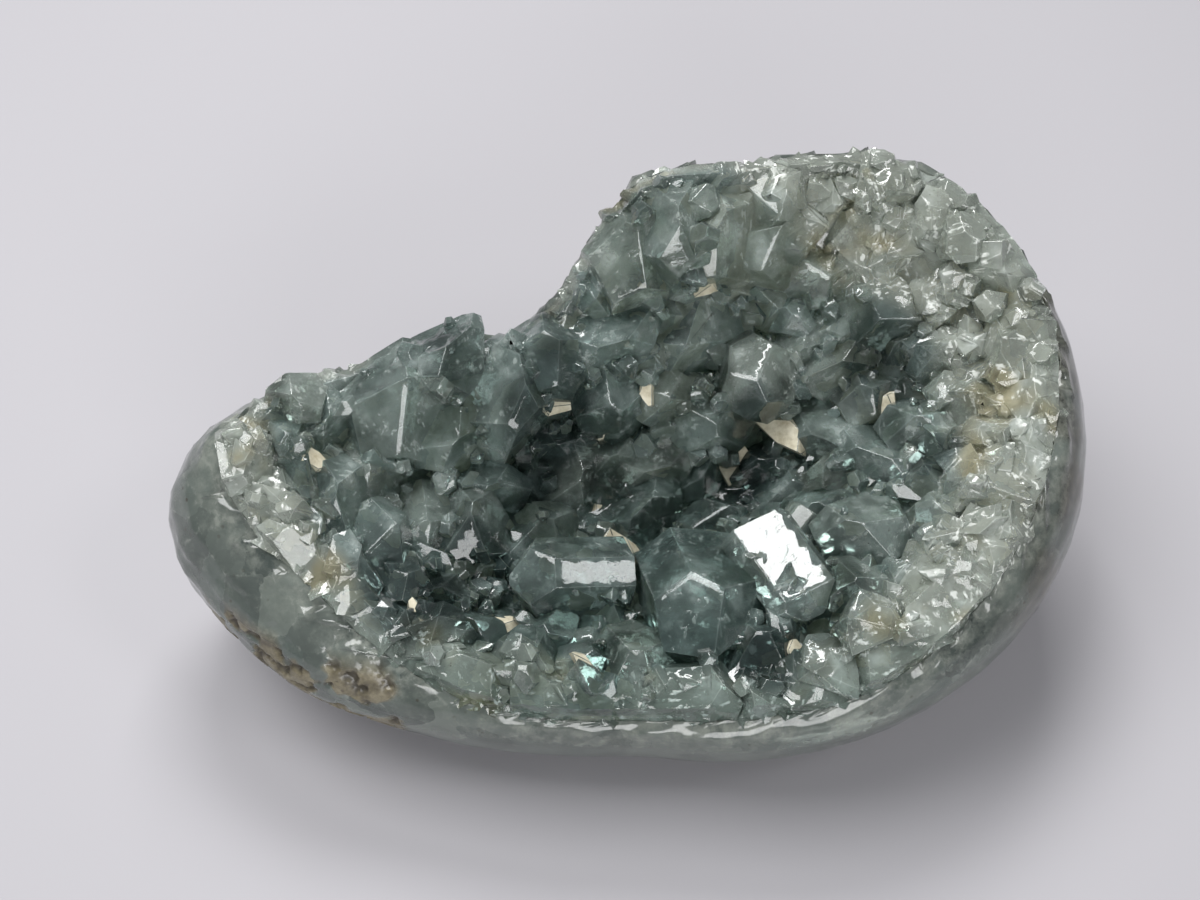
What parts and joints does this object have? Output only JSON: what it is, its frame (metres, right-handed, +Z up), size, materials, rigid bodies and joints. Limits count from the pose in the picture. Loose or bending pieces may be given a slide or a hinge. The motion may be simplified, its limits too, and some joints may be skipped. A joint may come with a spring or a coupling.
{
  "type": "celestite geode",
  "caption": "Half of a hollow celestite nodule, polished outside, its open hollow lined with blue-grey crystals.",
  "frame": {"origin": "centre of the part's plan box, on the plane that it rests on", "axes": "+Z up out of the hollow, +X along the length towards the broad high end, +Y to the high back"},
  "size_m": [0.1612, 0.1026, 0.0729],
  "materials": {
    "polished_rind": "polished massive celestite and matrix, mottled blue-grey and tan",
    "crystal_crust": "glassy natural crystal faces, clear to cloudy blue-grey"
  },
  "bodies": {
    "root": {"polished_rind": "polished_rind", "crystal_crust": "crystal_crust"}
  },
  "joints": []
}
